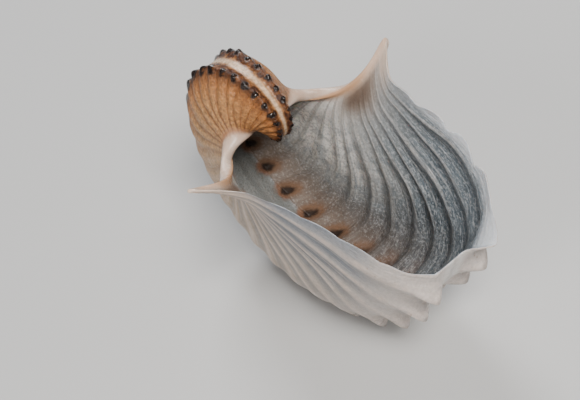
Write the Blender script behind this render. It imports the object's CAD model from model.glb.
"""Paper nautilus shell with its finishes, on a pale studio floor.

The shell is one closed skin, worked out from a surface of two parameters: a
count of ribs from the apex to the lip, and a place across the sheet from one
rolled edge over the keel to the other. The finishes read the same two numbers,
so that stains, ribs and threads follow the way the shell grew.
"""

import logging
import math
from dataclasses import dataclass, field
from enum import Enum
from functools import partial, reduce
from typing import Sequence

import bpy
import numpy as np
from mathutils import Matrix, Vector


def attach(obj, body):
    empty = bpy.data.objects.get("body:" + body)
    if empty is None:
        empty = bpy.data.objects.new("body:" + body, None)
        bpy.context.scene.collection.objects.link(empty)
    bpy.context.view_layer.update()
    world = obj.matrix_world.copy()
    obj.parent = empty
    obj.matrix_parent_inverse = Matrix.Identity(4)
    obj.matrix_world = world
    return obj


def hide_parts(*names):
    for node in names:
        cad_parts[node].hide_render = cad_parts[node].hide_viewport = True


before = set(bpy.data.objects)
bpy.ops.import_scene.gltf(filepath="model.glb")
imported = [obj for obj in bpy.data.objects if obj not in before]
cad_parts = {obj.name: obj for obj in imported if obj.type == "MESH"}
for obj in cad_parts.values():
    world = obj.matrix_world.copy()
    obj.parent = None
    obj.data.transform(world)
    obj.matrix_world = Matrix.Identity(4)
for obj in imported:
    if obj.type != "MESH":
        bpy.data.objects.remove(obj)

Array = np.ndarray
Colour = tuple[float, float, float]
Stops = tuple[tuple[float, Colour], ...]
Row = tuple[float, ...]
Pair = tuple[float, float]
Socket = bpy.types.NodeSocket
Value = Socket | float | Colour
Inputs = dict[int | str, Value]
Piece = bpy.types.Object

LOG = logging.getLogger("paper_nautilus")
MM = 0.001
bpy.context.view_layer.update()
PHOTO_WIDTH = 580


class Face(Enum):
    """The two faces of the sheet."""

    OUTER = "outer"
    INNER = "inner"


def ease(x: Array, low: float, high: float) -> Array:
    """Smooth step, s * s * (3 - 2 * s) for s from 0 at low to 1 at high."""
    s = np.clip((x - low) / (high - low), 0.0, 1.0)
    return s * s * (3 - 2 * s)


def through(x: Array, places: Sequence[float], values: Sequence[float]) -> Array:
    """Smooth curve through given values.

    Between two places the curve is the cubic whose slope at each place is
    the mean slope towards that place's neighbours.

    Args:
        x: Where the curve is read.
        places: Rising places of the given values.
        values: The given values.

    Returns:
        The curve's values at x.
    """
    at = np.asarray(places, float)
    value = np.asarray(values, float)
    slopes = np.gradient(value, at)
    i = np.clip(np.searchsorted(at, x) - 1, 0, len(at) - 2)
    gap = at[i + 1] - at[i]
    s = np.clip((x - at[i]) / gap, 0.0, 1.0)
    start = (1 + 2 * s) * (1 - s) ** 2 * value[i]
    end = s * s * (3 - 2 * s) * value[i + 1]
    leave = s * (1 - s) ** 2 * gap * slopes[i]
    arrive = s * s * (s - 1) * gap * slopes[i + 1]
    return start + end + leave + arrive


def unit(vectors: Array) -> Array:
    """Vectors divided by their lengths."""
    length = np.linalg.norm(vectors, axis=-1, keepdims=True)
    return vectors / np.maximum(length, 1e-12)


def quarter_circle(x: Array) -> Array:
    """Quarter circle that rises from 0 at 0 to 1 at 1, and stays there."""
    return np.sqrt(1 - (1 - np.clip(x, 0.0, 1.0)) ** 2)


def flank_way(across: Array) -> Array:
    """Place on a flank, from 0 at the keel's corner to 1 at the lip."""
    return np.clip(np.abs(across) - 1.0, 0.0, 1.0)


def keel_way(across: Array) -> Array:
    """Place on the keel, from 0 in its middle to 1 at its corner and beyond."""
    return np.clip(np.abs(across), 0.0, 1.0)


@dataclass(frozen=True)
class Coil:
    """Spiral of the keel: stages are angles of growth in degrees."""

    bend_stage: float = -150.0
    bend_radius: float = 23.64 * MM
    growth_per_radian: float = 0.4035
    slowing: float = 0.0254
    keel_floor: float = 0.955
    first_rib: float = -8.0
    last_rib: float = 27.5
    lip_ribs: float = 1.5
    grown_ribs: Pair = (9.0, 17.0)
    ear_ribs: Pair = (22.0, 26.5)
    rib_at_zero: float = 23.963
    ribs_per_degree: float = 0.089352
    rib_crowding: float = 4.144e-5
    young_stages: Pair = (-400.0, -200.0)
    young_share: float = 0.45
    keel_stage: Row = (-460, -420, -330, -270, -210, -150, -90, -30, 10, 40)
    keel_half: Row = (0.7, 0.95, 1.5, 2.1, 2.9, 3.9, 4.9, 5.8, 6.3, 6.6)

    def stage(self, rib: Array) -> Array:
        """Stage in degrees at a rib count: the root of the counting quadratic."""
        inside = self.ribs_per_degree ** 2 - 4 * self.rib_crowding * (self.rib_at_zero - rib)
        return (np.sqrt(inside) - self.ribs_per_degree) / (2 * self.rib_crowding)

    def radius(self, stage: Array) -> Array:
        """Distance from the pole to the tubercles' tips.

        It is the exponential of the growth rate times the turned angle,
        less a term in the angle's square past the bend stage.

        Args:
            stage: Stages in degrees.

        Returns:
            Distances in metres.
        """
        turn = np.radians(stage - self.bend_stage)
        slowing = self.slowing * np.maximum(turn, 0.0) ** 2
        return self.bend_radius * np.exp(self.growth_per_radian * turn - slowing)

    def half_width(self, stage: Array) -> Array:
        """Half of the keel's width between its two rows."""
        return through(stage, self.keel_stage, self.keel_half) * MM

    def youth(self, stage: Array) -> Array:
        """Share of the full thickness, which is less in the first whorls."""
        return self.young_share + (1 - self.young_share) * ease(stage, *self.young_stages)

    def grown(self, rib: Array) -> Array:
        """Smooth step from 0 on the spire to 1 on the grown shell."""
        return ease(rib, *self.grown_ribs)

    def at_lip(self, rib: Array) -> Array:
        """Smooth step from 0 to 1 over the last ribs before the free lip."""
        return ease(rib, self.last_rib - self.lip_ribs, self.last_rib)


@dataclass(frozen=True)
class RolledLip:
    """Centre line of the rolled inner lip in millimetres, and its radius."""

    stage: Row = (-460, -330, -240, -190, -146, -103, -77, -53, -36, -10, 14, 39)
    x: Row = (0, 0, -0.3, -0.6, 0.4, 2.7, 4.5, 5.8, 6.0, 5.0, 3.5, 2.1)
    y: Row = (1.0, 3.5, 7.0, 9.8, 12.5, 15.7, 18.0, 20.3, 22.1, 25.5, 29.2, 32.5)
    z: Row = (0, 0, -0.5, -0.8, -2.0, 0.4, 2.3, 5.0, 8.5, 11.5, 13.2, 15.0)
    roll: Row = (0.25, 0.7, 1.2, 1.55, 1.7, 1.7, 1.65, 1.55, 1.4, 1.1, 0.75, 0.35)

    def centre(self, stage: Array) -> list[Array]:
        """Centre line's x, out-of-plane y and z, in metres."""
        return [through(stage, self.stage, line) * MM for line in (self.x, self.y, self.z)]

    def radius(self, stage: Array) -> Array:
        """Radius of the roll in metres."""
        return through(stage, self.stage, self.roll) * MM


@dataclass(frozen=True)
class GrowthLine:
    """One growth line, from the keel's corner (way 0) to the lip (way 1)."""

    way: Row = (0, 0.05, 0.13, 0.24, 0.40, 0.55, 0.70, 0.82, 0.90, 1.0)
    bow: Row = (0, 0.065, 0.115, 0.142, 0.149, 0.105, 0.058, 0.021, 0.006, 0)
    grown: Row = (0, 0.22, 0.36, 0.45, 0.523, 0.565, 0.615, 0.673, 0.79, 1.0)
    body: Row = (0, 0.28, 0.46, 0.57, 0.65, 0.69, 0.72, 0.76, 0.84, 1.0)
    young: Row = (0, 0.14, 0.31, 0.50, 0.72, 0.86, 0.95, 1.0, 1.0, 1.0)

    def forward(self, stage: Array, way: Array) -> Array:
        """Bow of the line towards the lip, as a share of its chord."""
        return through(way, self.way, self.bow) * (0.35 + 0.65 * ease(stage, -200.0, 0.0))

    def sideways(self, stage: Array, way: Array) -> Array:
        """Share of the spread from the keel's half width to the lip's.

        The young shape turns into the body's, and that into the grown one.

        Args:
            stage: Stages in degrees.
            way: Places along the growth line, 0 to 1.

        Returns:
            Shares from 0 to 1.
        """
        body = ease(stage, -230.0, -90.0)
        grown = ease(stage, -60.0, 25.0)
        spread = through(way, self.way, self.young) * (1 - body)
        spread = spread + through(way, self.way, self.body) * body * (1 - grown)
        return spread + through(way, self.way, self.grown) * body * grown


@dataclass(frozen=True)
class Relief:
    """Ribs, tubercles and the small unevenness of the sheet."""

    rib_share: float = 0.082
    rib_limit: float = 0.68 * MM
    outer_share: float = 0.32
    fill_limit: float = 0.46 * MM
    lift_share: float = 0.5
    ear_calm: float = 0.6
    crease_share: float = 0.55
    crease_round: float = 0.004
    outer_softness: float = 0.9
    inner_softness: float = 0.65
    tubercle_height: float = 1.12
    tubercle_lean: float = 0.55
    unevenness: float = 0.28
    late_ribs: Pair = (22.0, 24.5)
    late_height: float = 0.22
    late_narrowing: float = 0.9
    riblet_share: float = 0.22
    riblet_waves: tuple[Pair, Pair] = ((2.9, 2.0), (3.7, -3.0))
    wander: float = 0.13
    far_wander: float = 5.0
    tip_inward: float = 0.4
    tip_outward: Pair = (0.035, 0.3 * MM)
    ripple: float = 0.10 * MM

    def wandering(self, rib: Array, way: Array) -> Array:
        """Shift of the ribs along the coil, as slow sines that fade at the keel."""
        slow = np.sin(1.7 * rib + 4.1 * way) + 0.7 * np.sin(2.9 * rib - 6.3 * way + 1.3)
        return self.wander * slow * ease(way, 0.05, 0.45)

    def wave(self, count: Array, sharp: Array) -> Array:
        """Rib profile from -1 to 1: round crests and narrower grooves.

        A cosine is mixed with the size of a half cosine, which has a crease
        midway between two whole counts.

        Args:
            count: Rib counts with their wander.
            sharp: How sharp the grooves are, 0 to 1.

        Returns:
            The profile's heights.
        """
        crease = 2 * np.sqrt(np.cos(np.pi * count) ** 2 + self.crease_round) - 1
        share = self.crease_share * sharp
        return (1 - share) * np.cos(2 * np.pi * count) + share * crease

    def riblets(self, rib: Array, way: Array) -> Array:
        """Fine ribs between the ribs, from -1 to 1, as cosines that beat."""
        fine = sum(np.cos(2 * np.pi * each * rib + lean * way) for each, lean in self.riblet_waves)
        return 0.5 * fine * ease(way, 0.08, 0.35) * (1 - ease(way, 0.45, 0.85))

    def tooth(self, count: Array) -> Array:
        """Height of a pointed wave, 1 at whole counts and 0 midway."""
        away = np.abs((count + 0.5) % 1.0 - 0.5) * 2.0
        return (1 - away) ** 2 * (1 + away)


@dataclass(frozen=True)
class Stance:
    """How the coil stands on its worn tubercles."""

    down_angle: float = -41.25
    pole: tuple[float, float, float] = (-18.98 * MM, 0.0, 48.53 * MM)

    def placed(self, points: Array) -> Array:
        """Points turned so that the down angle points down, over the floor.

        Args:
            points: Points about the pole, with a last axis of x, y and z.

        Returns:
            The points in the shell's place.
        """
        down = math.radians(self.down_angle)
        x = -points[..., 0] * math.sin(down) + points[..., 2] * math.cos(down)
        z = -points[..., 0] * math.cos(down) - points[..., 2] * math.sin(down)
        return np.stack([x, points[..., 1], z], -1) + np.array(self.pole)


@dataclass(frozen=True)
class Sheet:
    """The shell's middle surface, as a function of rib count and place across.

    The place across runs from -2 on the near lip over the keel's corners,
    -1 and 1, to 2 on the far lip.
    """

    coil: Coil = field(default_factory=Coil)
    lip: RolledLip = field(default_factory=RolledLip)
    line: GrowthLine = field(default_factory=GrowthLine)
    relief: Relief = field(default_factory=Relief)
    slope_step: float = 0.01

    def line_points(self, stage: Array, way: Array) -> Array:
        """Points of a growth line on the far side of the shell.

        The point follows the chord from the keel's corner to the lip, is
        bowed at right angles to it in the coil's plane, and spread sideways.

        Args:
            stage: Stages in degrees.
            way: Places along the growth line, 0 to 1.

        Returns:
            Points with a last axis of x, y and z.
        """
        angle = np.radians(stage)
        radius = self.coil.radius(stage) * self.coil.keel_floor
        corner_x = radius * np.cos(angle)
        corner_z = radius * np.sin(angle)
        lip_x, lip_y, lip_z = self.lip.centre(stage)
        chord_x = lip_x - corner_x
        chord_z = lip_z - corner_z
        half = self.coil.half_width(stage)
        bow = self.line.forward(stage, way)
        x = corner_x + chord_x * way + chord_z * bow
        z = corner_z + chord_z * way - chord_x * bow
        y = half + (lip_y - half) * self.line.sideways(stage, way)
        return np.stack([x, y, z], -1)

    def plain(self, rib: Array, across: Array) -> Array:
        """Points of the sheet without ribs and tubercles.

        Args:
            rib: Rib counts.
            across: Places across the sheet.

        Returns:
            Points with a last axis of x, y and z.
        """
        points = self.line_points(self.coil.stage(rib), flank_way(across))
        side = np.where(across < 0, -1.0, 1.0)
        points[..., 1] = points[..., 1] * keel_way(across) * side
        return points

    def slopes(self, rib: Array, across: Array) -> tuple[Array, Array]:
        """Changes of the plain sheet for each rib and for each unit across.

        Args:
            rib: Rib counts.
            across: Places across the sheet.

        Returns:
            The changes along the coil and those across the sheet.
        """
        step = self.slope_step
        inner = np.clip(across, -2.0 + step, 2.0 - step)
        along = self.plain(rib + step, inner) - self.plain(rib - step, inner)
        over = self.plain(rib, inner + step) - self.plain(rib, inner - step)
        return along / (2 * step), over / (2 * step)

    def count(self, rib: Array, across: Array) -> Array:
        """Rib count of each side: the far row stands half a rib late."""
        return np.where(across < 0, rib, rib - 0.5)

    def crest(self, rib: Array, across: Array, face: Face = Face.INNER) -> Array:
        """Rib wave from -1 in a groove to 1 on a crest, with the wander.

        Args:
            rib: Rib counts.
            across: Places across the sheet.
            face: The face that the wave is for.

        Returns:
            The wave's heights.
        """
        relief = self.relief
        softness = relief.outer_softness if face is Face.OUTER else relief.inner_softness
        shift = relief.wandering(rib + np.where(across < 0, 0.0, relief.far_wander), flank_way(across))
        sharp = 1 - self.coil.grown(rib) * softness
        return relief.wave(self.count(rib, across) + shift, sharp)

    def tip(self, rib: Array, across: Array) -> Array:
        """Height of the tubercles, as a share of the highest.

        A pointed wave along the coil is multiplied by a bell across the
        keel's corner.

        Args:
            rib: Rib counts.
            across: Places across the sheet.

        Returns:
            Shares, 1 on most tips.
        """
        relief = self.relief
        radius = self.coil.radius(self.coil.stage(rib))
        keel = keel_way(across)
        inward = (1 - keel) / relief.tip_inward
        share, least = relief.tip_outward
        flank = flank_way(across) * radius * 0.9 / (share * radius + least)
        reach = np.exp(-1.5 * inward ** 2 - flank ** 2) * ease(keel, 0.0, 0.5)
        late = ease(rib, *relief.late_ribs)
        narrow = 1 + relief.late_narrowing * late
        height = 1 + relief.late_height * late
        return relief.tooth(self.count(rib, across)) ** narrow * reach * height

    def peaks(self, rib: Array, across: Array) -> Array:
        """Moves of the sheet's points that raise the tubercles.

        Args:
            rib: Rib counts.
            across: Places across the sheet.

        Returns:
            Moves away from the pole, leant outwards on both sides.
        """
        relief, coil = self.relief, self.coil
        stage = coil.stage(rib)
        side = np.where(across < 0, -1.0, 1.0)
        top = (1 - coil.keel_floor) * relief.tubercle_height
        number = np.round(self.count(rib, across))
        uneven = relief.unevenness * np.sin(2.4 * number + side) * (1 - ease(rib, 9.0, 14.0))
        height = self.tip(rib, across) * top * coil.radius(stage) * (1 + uneven)
        angle = np.radians(stage)
        lean = relief.tubercle_lean * side * ease(keel_way(across), 0.2, 1.0)
        return np.stack([np.cos(angle), lean, np.sin(angle)], -1) * height[..., None]

    def ribs(self, rib: Array, across: Array, face: Face, pitch: Array) -> Array:
        """Height of the ribs over the plain sheet.

        The grown shell's outer face is filled in between the ribs, so its
        ribs are lower than the flutes of the inner face.

        Args:
            rib: Rib counts.
            across: Places across the sheet.
            face: The face that the heights are for.
            pitch: Distances from rib to rib.

        Returns:
            Heights in metres.
        """
        relief, coil = self.relief, self.coil
        way = flank_way(across)
        height = np.minimum(pitch * relief.rib_share, relief.rib_limit)
        fade = ease(way, 0.0, 0.10) * (1 - ease(way, 0.80, 1.0))
        fine = relief.riblet_share
        lift = 0.0
        if face is Face.INNER:
            fade = fade * (1 - relief.ear_calm * ease(way, 0.45, 0.9) * coil.grown(rib))
        else:
            filled = height * (1 - relief.outer_share) * coil.grown(rib)
            removed = np.minimum(filled, relief.fill_limit * (1 - coil.at_lip(rib)))
            height = height - removed
            lift = removed * relief.lift_share * fade
            fine = fine / 2
        ribs = lift + self.crest(rib, across, face) * fade * height
        ripple = np.sin(5.3 * rib + 7 * way) * np.sin(11 * across + 2.1 * rib)
        ribs = ribs + relief.ripple * ripple * fade * ease(rib, 0.0, 15.0)
        return ribs + fine * height * fade * relief.riblets(rib, way)

    def points(self, rib: Array, across: Array, face: Face) -> tuple[Array, Array]:
        """Points and outward normals of the sheet with its relief.

        Args:
            rib: Rib counts.
            across: Places across the sheet.
            face: The face that the points are for.

        Returns:
            The points, and the plain sheet's unit normals at them.
        """
        along, over = self.slopes(rib, across)
        normal = unit(np.cross(over, along))
        ribs = self.ribs(rib, across, face, np.linalg.norm(along, axis=-1))
        place = self.plain(rib, across) + normal * ribs[..., None]
        return place + self.peaks(rib, across), normal


@dataclass
class Mesher:
    """Turns arrays of points and faces into a smooth mesh object."""

    name: str

    def make(self, points: Array, quads: Array) -> Piece:
        """Make an object of quads at the origin.

        Args:
            points: Vertex positions, one row each.
            quads: Vertex numbers, four to a row.

        Returns:
            The object, linked to the scene.
        """
        mesh = bpy.data.meshes.new(self.name)
        mesh.vertices.add(len(points))
        mesh.vertices.foreach_set("co", points.astype(np.float32).ravel())
        mesh.loops.add(quads.size)
        mesh.loops.foreach_set("vertex_index", quads.astype(np.int32).ravel())
        mesh.polygons.add(len(quads))
        starts = np.arange(len(quads), dtype=np.int32) * 4
        mesh.polygons.foreach_set("loop_start", starts)
        mesh.polygons.foreach_set("use_smooth", np.ones(len(quads), dtype=bool))
        mesh.update(calc_edges=True)
        mesh.validate()
        made = bpy.data.objects.new(self.name, mesh)
        bpy.context.scene.collection.objects.link(made)
        return made

    @staticmethod
    def measure(piece: Piece, name: str, values: Array) -> None:
        """Give the piece a number for each vertex, under a name."""
        layer = piece.data.attributes.new(name, "FLOAT", "POINT")
        layer.data.foreach_set("value", values.astype(np.float32).ravel())

    @staticmethod
    def map_sheet(piece: Piece, places: Array) -> None:
        """Give the piece its map.

        Args:
            piece: The piece.
            places: A pair of numbers for each vertex.
        """
        layer = piece.data.uv_layers.new(name="growth")
        corner = np.empty(len(piece.data.loops), dtype=np.int32)
        piece.data.loops.foreach_get("vertex_index", corner)
        layer.data.foreach_set("uv", places[corner].astype(np.float32).ravel())


@dataclass
class ShellSkin:
    """The whole shell as one closed skin, outer face, rims and inner face."""

    sheet: Sheet = field(default_factory=Sheet)
    stance: Stance = field(default_factory=Stance)
    wall: float = 0.6 * MM
    corner_wall: float = 1.2 * MM
    edge_wall: float = 0.45 * MM
    edge_taper: float = 1.2
    edge_round: float = 0.045
    ear_extra: float = 0.62 * MM
    ear_round: float = 0.24
    near_slimness: float = 0.5
    apex_share: float = 0.25
    roll_reach: float = 2.6
    roll_smoothing: float = 18.0
    near_scallop: float = 0.05
    far_scallop: float = 0.16
    scallops: float = 5.2
    least_edge: float = 0.08
    least_ear: float = 0.3
    apex_columns: int = 24
    columns_per_rib: int = 12
    edge_columns: Row = (0.20, 0.13, 0.10, 0.065, 0.045, 0.03, 0.018, 0.009, 0.003)
    keel_steps: int = 14
    flank_steps: int = 44
    roll_steps: int = 6
    rim_steps: int = 9

    def columns(self) -> Array:
        """Rib counts of the mesh's columns, closer together at the lip.

        Returns:
            Rising rib counts.
        """
        coil = self.sheet.coil
        apex = np.linspace(coil.first_rib, 0.0, self.apex_columns, endpoint=False)
        steps = int(round(coil.last_rib * self.columns_per_rib)) + 1
        rest = np.linspace(0.0, coil.last_rib, steps)
        edge = coil.last_rib - np.array(self.edge_columns)
        return np.sort(np.concatenate([apex, rest, edge]))

    def thinning(self, rib: Array) -> Array:
        """Share of the wall's thickness: thin in the apex, rounded at the lip.

        At the lip it falls as a quarter circle over the last few hundredths
        of a rib, after a slow taper over the last rib.

        Args:
            rib: Rib counts.

        Returns:
            Shares from 0 to 1.
        """
        coil = self.sheet.coil
        lost = 1 - self.edge_wall / self.wall
        slow = 1 - lost * ease(rib, coil.last_rib - self.edge_taper, coil.last_rib)
        rounded = quarter_circle((coil.last_rib - rib) / self.edge_round)
        return coil.youth(coil.stage(rib)) * slow * np.maximum(rounded, self.least_edge)

    def stations(self, rib: Array) -> tuple[Array, Array, Array, Array]:
        """Places across and half thicknesses from mid keel to the lip's centre.

        Args:
            rib: Rib counts of the columns.

        Returns:
            Places across, half thicknesses, radii of the roll and the roll's
            share of the growth line, for the far side.
        """
        coil = self.sheet.coil
        stage = coil.stage(rib)
        blunt = self.ear_extra * ease(rib, *coil.ear_ribs)
        round_end = quarter_circle((coil.last_rib - rib) / self.ear_round)
        round_end = np.maximum(round_end, self.least_ear)
        roll = (self.sheet.lip.radius(stage) + blunt) * coil.youth(stage) * round_end
        corner = self.sheet.line_points(stage, np.zeros_like(stage))
        centre = self.sheet.line_points(stage, np.ones_like(stage))
        chord = np.linalg.norm((centre - corner)[:, [0, 2]], axis=1)
        share = np.clip(self.roll_reach * roll / chord, 0.0, 0.6)

        keel = np.linspace(0.0, 1.0, self.keel_steps, endpoint=False) ** 0.8
        flank = np.linspace(0.0, 1.0, self.flank_steps, endpoint=False) ** 1.35
        blend = np.linspace(0.0, 1.0, self.roll_steps, endpoint=False)
        keel_across = np.repeat(keel[None, :], len(rib), axis=0)
        flank_across = 1 + flank[None, :] * (1 - share[:, None])
        blend_across = 2 - share[:, None] * (1 - blend[None, :])
        across = np.concatenate([keel_across, flank_across, blend_across], axis=1)

        thin = self.thinning(rib)[:, None]
        near_corner = (1 - ease(flank_way(across), 0.0, 0.06)) * ease(across, 0.55, 1.0)
        half = 0.5 * (self.wall + (self.corner_wall - self.wall) * near_corner) * thin
        inward = np.clip((2 - across) / np.maximum(share[:, None], 1e-9), 0.0, 1.0)
        swell = 1 - ease(inward, 0.0, 1.0)
        half = half + (np.maximum(roll[:, None], half) - half) * swell
        return across, half, roll, share

    def loop(self, rib: Array) -> tuple[Array, dict[str, Array]]:
        """Closed loops of points round the sheet's section, one per column.

        Each loop runs over the outer face from the near lip to the far lip,
        round the far roll, back along the inner face and round the near
        roll. Round a roll it is a half circle about the roll's centre.

        Args:
            rib: Rib counts of the columns.

        Returns:
            Points of the loops, and the numbers that the finishes read.
        """
        across, half, roll, share = self.stations(rib)
        slim = 1 - self.near_slimness * ease(rib, *self.sheet.coil.ear_ribs)
        place, thick = self.mirrored(across, half)
        ribs = self.scalloped(np.repeat(rib[:, None], place.shape[1], axis=1), place)
        above, normal = self.sheet.points(ribs, place, Face.OUTER)
        below, _ = self.sheet.points(ribs, place, Face.INNER)
        near = (1 - slim)[:, None] * ease(-place, 2 - share[:, None] - 1e-6, 2.0)
        thick = (thick * (1 - near))[..., None]

        angle = np.linspace(0.5 * np.pi, -0.5 * np.pi, self.rim_steps + 1)
        near_roll = np.maximum(roll * slim, half[:, -1] * slim)
        far_rim = self.rim(rib, 2.0, angle, roll)
        near_rim = self.rim(rib, -2.0, angle, near_roll)
        rim_face = np.repeat(np.sin(angle)[None, :], len(rib), axis=0)
        rim_place = np.full_like(rim_face, 2.0)
        facing = np.ones_like(place)

        flip = slice(None, None, -1)
        inner = (below - normal * thick)[:, flip]
        points = [above + normal * thick, far_rim, inner, near_rim[:, flip]]
        places = np.concatenate([place, rim_place, place[:, flip], -rim_place], axis=1)
        around = places.shape[1]
        grids = {
            "rib": self.scalloped(np.repeat(rib[:, None], around, axis=1), places),
            "across": places,
            "face": np.concatenate([facing, rim_face, -facing, rim_face[:, flip]], axis=1),
            "share": np.repeat(share[:, None], around, axis=1),
        }
        return self.evened(np.concatenate(points, axis=1), grids), grids

    def rim(self, rib: Array, across: float, angle: Array, radius: Array) -> Array:
        """Half circles about the centre of a rolled lip, one per column.

        Args:
            rib: Rib counts of the columns.
            across: Place across of the lip, 2 or -2.
            angle: Angles from the sheet's outer face to its inner face.
            radius: Radii of the roll.

        Returns:
            Points of the half circles.
        """
        place = np.full((len(rib), 1), across)
        counts = self.scalloped(rib[:, None], place)
        centre, face = self.sheet.points(counts, place, Face.OUTER)
        _, over = self.sheet.slopes(counts, place)
        away = unit(over * np.sign(across))
        face = unit(face - away * np.sum(face * away, -1, keepdims=True))
        turn = angle[None, :, None]
        return centre + (np.cos(turn) * away + np.sin(turn) * face) * radius[:, None, None]

    def evened(self, points: Array, grids: dict[str, Array]) -> Array:
        """Points with the rolled lip drawn smooth along its length.

        Each point near the roll is moved to the mean of its neighbours
        along the coil, weighted by a bell, and less so towards both ends.

        Args:
            points: Points of the loops.
            grids: The numbers that go with them.

        Returns:
            The moved points.
        """
        reach = int(3 * self.roll_smoothing)
        bell = np.exp(-0.5 * (np.arange(-reach, reach + 1) / self.roll_smoothing) ** 2)
        bell = bell / bell.sum()
        padded = np.pad(points, ((reach, reach), (0, 0), (0, 0)), mode="edge")
        rows = len(points)
        mean = sum(share * padded[start : start + rows] for start, share in enumerate(bell))
        inward = (2 - np.abs(grids["across"])) / np.maximum(grids["share"], 1e-9)
        column = np.arange(rows, dtype=float)[:, None]
        ends = ease(column, 0.0, reach) * (1 - ease(column, rows - reach, rows - 8))
        weight = (1 - ease(inward, 1.0, 2.6)) * ends
        return points + (mean - points) * weight[..., None]

    @staticmethod
    def mirrored(across: Array, half: Array) -> tuple[Array, Array]:
        """Both sides' places and half thicknesses, near lip to far lip."""
        places = np.concatenate([-across[:, :0:-1], across], axis=1)
        return places, np.concatenate([half[:, :0:-1], half], axis=1)

    def scalloped(self, rib: Array, across: Array) -> Array:
        """Rib counts moved a little at the lip, so that its edge is wavy.

        The shift is the size of a cosine of the place along the growth
        line, and grows over the last rib and a half.

        Args:
            rib: Rib counts.
            across: Places across the sheet.

        Returns:
            The moved rib counts.
        """
        way = flank_way(across)
        side = np.where(across < 0, 1.4, 0.0)
        wave = np.abs(np.cos(np.pi * (self.scallops * way ** 0.85) + side)) * 1.6 - 1.3
        room = ease(way, 0.04, 0.2) * (1 - ease(way, 0.85, 1.0))
        depth = np.where(across < 0, self.near_scallop, self.far_scallop)
        return rib + depth * wave * room * self.sheet.coil.at_lip(rib)

    @staticmethod
    def faces(columns: int, around: int) -> Array:
        """Quads between each loop and the next.

        Args:
            columns: Number of loops.
            around: Points in a loop.

        Returns:
            Vertex numbers, four to a row.
        """
        index = np.arange(columns * around).reshape(columns, around)
        here, there = index[:-1], index[1:]
        beside = np.roll(here, -1, axis=1)
        beyond = np.roll(there, -1, axis=1)
        return np.stack([here, beside, beyond, there], -1).reshape(-1, 4)

    def end_strips(self, columns: int, around: int) -> Array:
        """Quads that close the apex and the lip's edge.

        Each vertex of the outer face is joined to the vertex of the inner
        face at the same place, all the way across from roll to roll.

        Args:
            columns: Number of loops.
            around: Points in a loop.

        Returns:
            Vertex numbers, four to a row.
        """
        half_rim = (self.rim_steps + 1) // 2
        side = around // 2 - (self.rim_steps + 1)
        top = np.arange(-half_rim, side + half_rim)
        low = 2 * side + self.rim_steps - top
        strip = np.stack([top[:-1], top[1:], low[1:], low[:-1]], -1) % around
        return np.concatenate([strip[:, ::-1], strip + (columns - 1) * around])

    def build(self) -> Piece:
        """Make the shell and the numbers its finishes read.

        Returns:
            The shell's object.
        """
        columns = self.columns()
        points, grids = self.loop(columns)
        points = self.stance.placed(points)
        middle = points[0].mean(axis=0)
        points[0] = middle + (points[0] - middle) * self.apex_share
        points[..., 2] = np.maximum(points[..., 2], 0.0)
        size = (len(columns), points.shape[1])
        quads = np.concatenate([self.faces(*size), self.end_strips(*size)])
        piece = Mesher("paper_nautilus").make(points.reshape(-1, 3), quads)
        self.measured(piece, grids)
        return piece

    def measured(self, piece: Piece, grids: dict[str, Array]) -> None:
        """Store the numbers that the finishes read, and the sheet's map.

        Args:
            piece: The shell's object.
            grids: Rib counts, places across, facing and shares of the roll.
        """
        rib, across = grids["rib"], grids["across"]
        way = np.abs(across) - 1
        inward = (2 - np.abs(across)) / np.maximum(grids["share"], 1e-9)
        numbers = {
            "rib": rib,
            "way": way,
            "face": grids["face"],
            "tip": self.sheet.tip(rib, across),
            "crest": self.sheet.crest(rib, across),
            "fine": self.sheet.relief.riblets(rib, flank_way(across)),
            "roll": 1 - ease(inward, 0.25, 1.15),
        }
        for name, values in numbers.items():
            Mesher.measure(piece, name, values)
        radius = self.sheet.coil.radius(self.sheet.coil.stage(rib))
        keel_length = radius / self.sheet.coil.growth_per_radian
        places = np.stack([keel_length, way * radius * np.sign(across)], -1)
        Mesher.map_sheet(piece, places.reshape(-1, 2) / MM)


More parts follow.
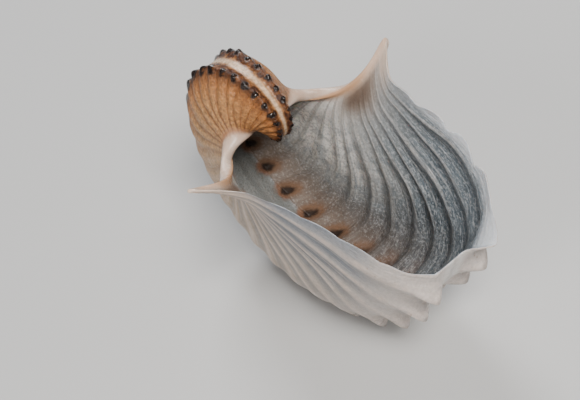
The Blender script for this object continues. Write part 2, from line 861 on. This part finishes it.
class NodeSketch:
    """Small helper that adds nodes to a material and links them."""

    def __init__(self, name: str) -> None:
        """Start a material that holds its surface and its output.

        Args:
            name: The material's name.
        """
        self.material = bpy.data.materials.new(name)
        self.material.use_nodes = True
        self.tree = self.material.node_tree
        self.surface = self.tree.nodes["Principled BSDF"]

    def feed(self, socket: Socket, value: Value) -> None:
        """Link a socket to an output, or set its value.

        Args:
            socket: The input to feed.
            value: Another node's output, or a number, colour or place.
        """
        if isinstance(value, Socket):
            self.tree.links.new(value, socket)
        elif socket.type == "RGBA":
            socket.default_value = (*value, 1.0)
        else:
            socket.default_value = value

    def node(self, kind: str, output: int | str, inputs: Inputs, **settings: str) -> Socket:
        """Add one node and feed its inputs.

        Args:
            kind: The node's type.
            output: Which of its outputs is wanted.
            inputs: Values of its inputs, by name or number.
            settings: Its plain properties.

        Returns:
            The wanted output.
        """
        made = self.tree.nodes.new(kind)
        for name, value in settings.items():
            setattr(made, name, value)
        for key, value in inputs.items():
            self.feed(made.inputs[key], value)
        return made.outputs[output]

    def number(self, name: str) -> Socket:
        """Read one of the piece's numbers."""
        return self.node("ShaderNodeAttribute", "Fac", {}, attribute_name=name)

    def position(self) -> Socket:
        """Place on the piece, in metres."""
        return self.node("ShaderNodeTexCoord", "Object", {})

    def math(self, operation: str, first: Value, second: Value) -> Socket:
        """Sum or other operation on two numbers."""
        return self.node("ShaderNodeMath", 0, {0: first, 1: second}, operation=operation)

    def product(self, *factors: Value) -> Value:
        """Product of one or more numbers."""
        return reduce(partial(self.math, "MULTIPLY"), factors)

    def span(
        self, value: Value, low: float, high: float, start: float = 0.0, end: float = 1.0
    ) -> Socket:
        """Smooth step of a number, from start at low to end at high."""
        inputs = {"Value": value, "From Min": low, "From Max": high}
        inputs |= {"To Min": start, "To Max": end}
        return self.node("ShaderNodeMapRange", "Result", inputs, interpolation_type="SMOOTHSTEP")

    def fall(self, value: Value, low: float, high: float) -> Socket:
        """Smooth step of a number, from 1 at low to 0 at high."""
        return self.span(value, low, high, 1.0, 0.0)

    def blend(self, share: Value, first: Value, second: Value) -> Socket:
        """Mix of two colours, by the second one's share."""
        inputs = {"Factor": share, 6: first, 7: second}
        return self.node("ShaderNodeMix", 2, inputs, data_type="RGBA")

    def coat(self, base: Value, colour: Value, *factors: Value) -> Socket:
        """Base colour with another laid over it by the product of the factors."""
        return self.blend(self.product(*factors), base, colour)

    def ramp(self, value: Value, stops: Stops) -> Socket:
        """Colour that changes along a number from 0 to 1.

        Args:
            value: The number.
            stops: Places along it and their colours.

        Returns:
            The colour.
        """
        made = self.node("ShaderNodeValToRGB", "Color", {"Fac": value})
        band = made.node.color_ramp
        band.interpolation = "B_SPLINE"
        while len(band.elements) < len(stops):
            band.elements.new(0.5)
        for element, (place, colour) in zip(band.elements, stops):
            element.position = place
            element.color = (*colour, 1.0)
        return made

    def growth_map(self, stretch: Pair, turn: float) -> Socket:
        """Place on the sheet in millimetres, turned by some degrees and stretched."""
        inputs = {"Rotation": (0.0, 0.0, math.radians(turn)), "Scale": (*stretch, 1.0)}
        inputs["Vector"] = self.node("ShaderNodeUVMap", "UV", {}, uv_map="growth")
        return self.node("ShaderNodeMapping", "Vector", inputs)

    def noise(self, place: Value, scale: float, detail: float, rough: float = 0.5) -> Socket:
        """Cloudy noise around 0.5, with some finer layers."""
        inputs = {"Vector": place, "Scale": scale, "Detail": detail, "Roughness": rough}
        return self.node("ShaderNodeTexNoise", "Fac", inputs)

    def cells(self, place: Value, scale: float) -> Socket:
        """Distance to the nearest of scattered points."""
        inputs = {"Vector": place, "Scale": scale}
        return self.node("ShaderNodeTexVoronoi", "Distance", inputs, feature="F1")

    def bump(self, height: Value, distance: float) -> None:
        """Raise the surface by a height times a distance, on top of any before.

        Args:
            height: The height.
            distance: What a height of 1 stands for, in metres.
        """
        normal = self.surface.inputs["Normal"]
        inputs = {"Height": height, "Distance": distance, "Strength": 1.0}
        if normal.is_linked:
            inputs["Normal"] = normal.links[0].from_socket
        self.feed(normal, self.node("ShaderNodeBump", "Normal", inputs))


class Palette:
    """Colours of the outer face, of the inner face and of the rolled lip."""

    groove_brown = (0.20, 0.075, 0.026)
    furrow_grey = (0.135, 0.15, 0.175)
    band_grey = (0.21, 0.23, 0.26)
    thread_cream = (0.58, 0.50, 0.44)
    crest_pink = (0.64, 0.53, 0.46)
    upper_peach = (0.66, 0.47, 0.33)
    corner_pale = (0.56, 0.495, 0.455)
    keel_line = (0.68, 0.50, 0.34)
    row_amber = (0.36, 0.13, 0.035)
    row_brown = (0.060, 0.018, 0.006)
    tip_black = (0.016, 0.009, 0.007)
    speck_brown = (0.33, 0.22, 0.15)

    upper_white = (0.92, 0.885, 0.83)
    mottle_slate = (0.17, 0.205, 0.23)
    dot_grey = (0.15, 0.165, 0.17)
    thread_white = (0.62, 0.63, 0.64)
    grain_white = (0.78, 0.80, 0.81)
    shade_brown = (0.25, 0.16, 0.10)
    core_brown = (0.12, 0.075, 0.05)
    edge_white = (0.66, 0.68, 0.71)
    ear_cream = (0.66, 0.51, 0.40)
    halo_brown = (0.19, 0.080, 0.036)
    rib_end_brown = (0.21, 0.13, 0.08)
    pit_black = (0.02, 0.012, 0.009)

    roll_cream = (0.60, 0.43, 0.33)
    veil_cream = (0.68, 0.55, 0.46)
    rim_brown = (0.50, 0.25, 0.10)
    ring_brown = (0.36, 0.14, 0.045)

    flank = (
        (0.00, (0.33, 0.12, 0.035)),
        (0.38, (0.44, 0.20, 0.070)),
        (0.56, (0.50, 0.25, 0.092)),
        (0.70, (0.47, 0.285, 0.135)),
        (0.84, (0.44, 0.365, 0.29)),
        (1.00, (0.43, 0.395, 0.375)),
    )
    keel = (
        (0.00, (0.44, 0.215, 0.085)),
        (0.62, (0.44, 0.215, 0.085)),
        (0.75, (0.60, 0.54, 0.47)),
        (1.00, (0.66, 0.64, 0.62)),
    )
    wall = (
        (0.00, (0.46, 0.37, 0.28)),
        (0.58, (0.62, 0.54, 0.46)),
        (0.68, (0.33, 0.315, 0.29)),
        (0.80, (0.070, 0.088, 0.102)),
        (0.92, (0.050, 0.070, 0.088)),
        (1.00, (0.16, 0.19, 0.215)),
    )
    ridge = (
        (0.66, (0.27, 0.21, 0.15)),
        (0.78, (0.52, 0.48, 0.43)),
        (0.90, (0.68, 0.665, 0.65)),
    )
    inner_keel = (
        (0.00, (0.16, 0.15, 0.13)),
        (0.85, (0.105, 0.108, 0.095)),
        (1.00, (0.34, 0.37, 0.42)),
    )


class ShellFinish(NodeSketch):
    """Colours, gloss and fine relief, from the stained spire to the lip.

    The share is 0 at the apex and 1 at the lip.
    """

    def __init__(self) -> None:
        """Start the material and read the piece's numbers."""
        super().__init__("nautilus_shell")
        coil = Coil()
        shifted = self.math("SUBTRACT", self.number("rib"), coil.first_rib)
        self.share = self.math("DIVIDE", shifted, coil.last_rib - coil.first_rib)
        self.place = self.position()
        self.crest = self.number("crest")
        self.way = self.number("way")
        self.tip = self.number("tip")
        self.fine = self.number("fine")
        self.face = self.number("face")
        self.roll = self.number("roll")

    def outer(self) -> Socket:
        """Colour of the outer face.

        Returns:
            The colour.
        """
        span, fall, coat = self.span, self.fall, self.coat
        share, place, way, crest = self.share, self.place, self.way, self.crest
        hue = Palette
        cloud = self.noise(place, 160.0, 4.0)
        spots = self.noise(place, 520.0, 3.0, 0.6)
        young = fall(share, 0.52, 0.74)
        late = span(share, 0.60, 0.80)

        flank = self.ramp(self.math("ADD", share, self.product(cloud, 0.06)), hue.flank)
        groove = fall(crest, -0.9, 0.35)
        flank = coat(flank, hue.groove_brown, groove, span(way, 0.20, 0.9, 0.45, 0.95), young)
        furrow = (fall(crest, -0.9, 0.75), late, span(way, 0.10, 0.45, 0.35, 0.95))
        flank = coat(flank, hue.furrow_grey, *furrow, span(share, 0.84, 0.98, 0.60, 1.0))
        band = (span(share, 0.93, 0.985, 0.0, 0.62), span(way, 0.08, 0.30), fall(way, 0.60, 0.90))
        flank = coat(flank, hue.band_grey, *band)
        flank = coat(flank, hue.thread_cream, span(self.fine, 0.30, 0.75, 0.0, 0.55), late)
        clouded = span(cloud, 0.3, 0.65, 0.5, 0.9)
        flank = coat(flank, hue.crest_pink, span(crest, 0.45, 1.0), late, clouded)
        flank = coat(flank, hue.upper_peach, span(way, 0.62, 0.97, 0.0, 0.55), late)
        flank = coat(flank, hue.corner_pale, span(way, 0.03, 0.30, 0.75, 0.0), late)

        keel = self.ramp(share, hue.keel)
        keel = coat(keel, hue.keel_line, span(way, -0.90, -0.62, 0.7, 0.0), young)
        base = coat(flank, keel, fall(way, -0.70, -0.25))
        row = (span(way, -0.75, -0.2), fall(way, 0.10, 0.40))
        base = coat(base, hue.row_amber, *row, young, 0.7)
        base = coat(
            base,
            hue.row_brown,
            span(self.math("ADD", way, self.product(spots, 0.7)), -0.50, 0.0),
            fall(self.math("ADD", way, self.product(spots, 0.16)), 0.06, 0.26),
            span(spots, 0.36, 0.56, 0.60, 1.0),
            young,
        )
        tip = self.math("ADD", self.tip, span(spots, 0.3, 0.7, -0.22, 0.22))
        base = coat(base, hue.tip_black, span(tip, 0.20, 0.55), fall(share, 0.60, 0.84))
        patch = span(self.noise(place, 90.0, 2.0), 0.52, 0.66)
        speck = fall(self.cells(place, 620.0), 0.10, 0.22)
        base = coat(base, hue.speck_brown, speck, patch, span(way, 0.05, 0.4, 0.75, 0.0))

        grain = span(self.noise(place, 1200.0, 3.0, 0.7), 0.32, 0.68, -0.36, 0.30)
        sparkle = self.product(grain, span(share, 0.55, 0.80, 1.0, 0.30))
        inputs = {0: base, "Scale": self.math("ADD", 1.0, sparkle)}
        return self.node("ShaderNodeVectorMath", 0, inputs, operation="SCALE")

    def inner(self) -> Socket:
        """Colour of the inner face.

        Returns:
            The colour.
        """
        span, fall, coat, noise = self.span, self.fall, self.coat, self.noise
        share, place, way, crest = self.share, self.place, self.way, self.crest
        hue = Palette
        cloud = noise(place, 120.0, 4.0)
        shift = self.product(self.math("SUBTRACT", cloud, 0.5), 0.08)
        wall = self.ramp(self.math("ADD", share, shift), hue.wall)
        ridge = self.product(fall(crest, -0.95, -0.62), span(cloud, 0.25, 0.60, 0.55, 0.9))
        ridge = self.product(ridge, span(way, 0.12, 0.45, 0.10, 1.0))
        ridge = self.math("MAXIMUM", ridge, span(self.fine, -0.75, -0.40, 0.42, 0.0))
        wall = coat(wall, self.ramp(share, hue.ridge), ridge)
        upper = self.math(
            "MAXIMUM",
            self.product(span(way, 0.45, 0.92), span(share, 0.6, 0.92, 0.95, 0.30)),
            self.product(span(way, 0.12, 0.50), span(share, 0.72, 0.92, 0.95, 0.0)),
        )
        hollow = span(crest, -0.85, -0.2, 0.35, 1.0)
        hollow = self.math("MAXIMUM", hollow, span(share, 0.72, 0.84, 0.0, 0.95))
        wall = coat(wall, hue.upper_white, upper, hollow)

        mottle = span(noise(place, 300.0, 3.0), 0.46, 0.62, 0.0, 0.50)
        wall = coat(wall, hue.mottle_slate, mottle, span(share, 0.62, 0.72), fall(way, 0.60, 0.85))
        dots = span(noise(place, 1300.0, 3.0, 0.7), 0.40, 0.52, 0.50, 0.0)
        wall = coat(wall, hue.dot_grey, dots, span(way, 0.65, 0.90, 1.0, 0.3))
        threads = noise(self.growth_map((2.6, 0.45), 14.0), 1.0, 3.0, 0.65)
        cross = noise(self.growth_map((2.4, 0.50), -30.0), 1.0, 3.0, 0.65)
        weave = self.math("MAXIMUM", span(threads, 0.53, 0.66), span(cross, 0.53, 0.66))
        wall = coat(wall, hue.thread_white, weave, span(share, 0.74, 0.90, 0.10, 0.44))
        grains = span(noise(place, 1500.0, 3.0, 0.7), 0.50, 0.66)
        wall = coat(wall, hue.grain_white, grains, span(share, 0.70, 0.95, 0.50, 0.28))

        late = span(share, 0.89, 0.98, 0.95, 0.0)
        shade = (span(way, 0.74, 0.92), span(share, 0.72, 0.82), late, 0.75)
        wall = coat(wall, hue.shade_brown, *shade)
        core = (span(way, 0.80, 0.90), span(way, 0.95, 1.0, 1.0, 0.4), span(share, 0.76, 0.82))
        wall = coat(wall, hue.core_brown, *core, span(share, 0.86, 0.93, 0.85, 0.0))
        edge = span(share, 0.988, 0.999, 0.0, 0.75)
        wall = coat(wall, hue.edge_white, edge, fall(way, 0.6, 0.8))
        ear = span(way, 0.78, 0.93, 0.0, 0.85)
        wall = coat(wall, hue.ear_cream, ear, span(share, 0.93, 0.975))

        keel = self.ramp(share, hue.inner_keel)
        wall = coat(wall, keel, fall(way, -0.35, 0.03))
        ragged = self.product(self.math("SUBTRACT", noise(place, 420.0, 3.0), 0.5), 0.5)
        tip = self.math("ADD", self.tip, ragged)
        halo = span(share, 0.80, 0.92, 0.85, 0.0)
        wall = coat(wall, hue.halo_brown, span(tip, 0.02, 0.45), halo)
        rib_end = (span(way, 0.02, 0.30, 0.6, 0.0), span(way, -0.2, 0.0))
        wall = coat(wall, hue.rib_end_brown, *rib_end, fall(share, 0.78, 0.95))
        pit = span(share, 0.80, 0.90, 0.95, 0.0)
        return coat(wall, hue.pit_black, span(tip, 0.46, 0.82), pit)

    def rolled(self, sheet: Value, outside: Value) -> Socket:
        """Colour of the whole shell, with its cream roll over the sheet.

        Args:
            sheet: Colour of the sheet.
            outside: 1 on the outer face and 0 on the inner one.

        Returns:
            The colour.
        """
        span, roll, hue = self.span, self.roll, Palette
        veil = self.noise(self.place, 210.0, 3.0)
        cream = self.blend(span(veil, 0.35, 0.7), hue.roll_cream, hue.veil_cream)
        rim = self.product(span(self.face, -0.9, -0.2, 0.75, 0.0), roll)
        cream = self.coat(cream, hue.rim_brown, rim, span(self.share, 0.82, 0.92, 1.0, 0.25))
        ring = (span(roll, 0.0, 0.30), self.fall(roll, 0.35, 0.9))
        stain = (span(self.share, 0.66, 0.80, 0.8, 0.0), outside, span(veil, 0.3, 0.6, 0.4, 1.0))
        return self.coat(self.blend(roll, sheet, cream), hue.ring_brown, *ring, *stain)

    def smoothness(self, outside: Value) -> Socket:
        """How smooth the surface is: the roll, the tubercles and the keel.

        Args:
            outside: 1 on the outer face and 0 on the inner one.

        Returns:
            A number from 0 to 1.
        """
        tip = self.product(self.span(self.tip, 0.2, 0.6), outside)
        keel = self.span(self.way, -0.65, -0.2, 0.8, 0.0)
        keel = self.product(keel, self.fall(self.share, 0.55, 0.75))
        return self.math("MAXIMUM", self.math("MAXIMUM", self.roll, tip), keel)

    def dressed(self) -> bpy.types.Material:
        """Lay on the colours, the gloss and the fine relief.

        Returns:
            The shell's material.
        """
        outside = self.span(self.face, -0.55, 0.15)
        sheet = self.blend(outside, self.inner(), self.outer())
        smooth = self.smoothness(outside)
        uneven = self.span(self.noise(self.place, 500.0, 3.0), 0.3, 0.7, 0.36, 0.50)
        settings = {
            "Base Color": self.rolled(sheet, outside),
            "Roughness": self.math("SUBTRACT", uneven, self.product(smooth, 0.20)),
            "Specular IOR Level": 0.45,
            "Subsurface Weight": 0.25,
            "Subsurface Radius": (1.0, 0.7, 0.5),
            "Subsurface Scale": 0.9 * MM,
        }
        for name, value in settings.items():
            self.feed(self.surface.inputs[name], value)

        plain = self.math("SUBTRACT", 1.0, self.product(smooth, 0.85))
        pimples = self.math("SUBTRACT", 0.6, self.cells(self.place, 1100.0))
        grain = self.noise(self.place, 1300.0, 3.0, 0.65)
        grain = self.math("ADD", grain, self.product(pimples, 0.5))
        coarse = self.span(self.share, 0.55, 0.80, 1.0, 0.35)
        self.bump(self.product(grain, coarse, plain), 0.32 * MM)
        lines = self.noise(self.growth_map((2.2, 0.12), 0.0), 1.0, 4.0, 0.6)
        self.bump(self.product(lines, plain), 0.35 * MM)
        return self.material


@dataclass(frozen=True)
class Lamp:
    """Square soft light that faces the shell from a direction."""

    name: str
    way: tuple[float, float, float]
    distance: float
    size: float
    power: float
    tone: Colour
    aim: tuple[float, float, float] = (0.0, 0.0, 0.03)

    def place(self) -> None:
        """Add the light to the scene."""
        data = bpy.data.lights.new(self.name, "AREA")
        data.shape = "SQUARE"
        data.size = self.size
        data.energy = self.power
        data.color = self.tone
        made = bpy.data.objects.new(self.name, data)
        away = Vector(self.way).normalized()
        made.rotation_mode = "QUATERNION"
        made.rotation_quaternion = away.to_track_quat("Z", "Y")
        made.location = Vector(self.aim) + away * self.distance
        bpy.context.scene.collection.objects.link(made)


@dataclass(frozen=True)
class Studio:
    """Pale floor, soft lights and the camera."""

    floor_size: float = 3.0
    floor_tone: Colour = (0.56, 0.56, 0.555)
    floor_cloud: float = 0.97
    towards: tuple[float, float, float] = (0.6676, -0.3543, 0.6548)
    picture_down: tuple[float, float, float] = (0.3558, -0.5603, -0.7479)
    camera_at: tuple[float, float, float] = (0.2392, -0.1383, 0.2749)
    focal_pixels: float = 1480.7
    sensor: float = 36.0
    surround: tuple[float, float, float, float] = (0.90, 0.93, 1.0, 1.0)
    surround_strength: float = 0.14
    lamps: tuple[Lamp, ...] = (
        Lamp("key", (0.80, -0.20, 1.0), 0.9, 0.28, 11.0, (1.0, 0.97, 0.93)),
        Lamp("top", (-0.80, 0.50, 1.0), 0.8, 0.25, 4.5, (0.97, 0.98, 1.0)),
        Lamp("fill", (0.25, -1.0, 0.65), 1.3, 0.4, 5.0, (1.0, 0.98, 0.96)),
    )

    def floor(self) -> Piece:
        """Large level floor under the shell.

        Returns:
            The floor's object.
        """
        half = self.floor_size / 2
        signs = np.array([[-1, -1, 0], [1, -1, 0], [1, 1, 0], [-1, 1, 0]])
        made = Mesher("studio_floor").make(half * signs, np.array([[0, 1, 2, 3]]))
        sketch = NodeSketch("studio_floor")
        cloud = sketch.noise(sketch.position(), 8.0, 2.0)
        pale = tuple(value * self.floor_cloud for value in self.floor_tone)
        tone = sketch.blend(cloud, self.floor_tone, pale)
        sketch.feed(sketch.surface.inputs["Base Color"], tone)
        sketch.feed(sketch.surface.inputs["Roughness"], 0.85)
        made.data.materials.append(sketch.material)
        return made

    def camera(self) -> None:
        """Add a camera at the photograph's angle, distance and lean."""
        back = Vector(self.towards).normalized()
        up = -Vector(self.picture_down)
        up = (up - back * up.dot(back)).normalized()
        right = up.cross(back)
        data = bpy.data.cameras.new("camera")
        data.sensor_width = self.sensor
        data.lens = self.focal_pixels * self.sensor / PHOTO_WIDTH
        data.clip_start = 0.01
        data.clip_end = 20.0
        made = bpy.data.objects.new("camera", data)
        turn = Matrix((right, up, back)).transposed().to_4x4()
        made.matrix_world = Matrix.Translation(self.camera_at) @ turn
        bpy.context.scene.collection.objects.link(made)
        bpy.context.scene.camera = made

    def lights(self) -> None:
        """Add key, top and fill, and an even pale surround."""
        for lamp in self.lamps:
            lamp.place()
        world = bpy.data.worlds.new("surround")
        world.use_nodes = True
        ground = world.node_tree.nodes["Background"]
        ground.inputs["Color"].default_value = self.surround
        ground.inputs["Strength"].default_value = self.surround_strength
        bpy.context.scene.world = world


def main() -> None:
    """Build the shell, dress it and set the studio."""
    logging.basicConfig(level=logging.INFO, format="%(name)s: %(message)s")
    skin = ShellSkin().build()
    skin.data.materials.append(ShellFinish().dressed())
    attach(skin, "root")
    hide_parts("shell")
    LOG.info("%s: %d faces", skin.name, len(skin.data.polygons))

    studio = Studio()
    floor = studio.floor()
    studio.camera()
    studio.lights()


if __name__ == "__main__":
    main()
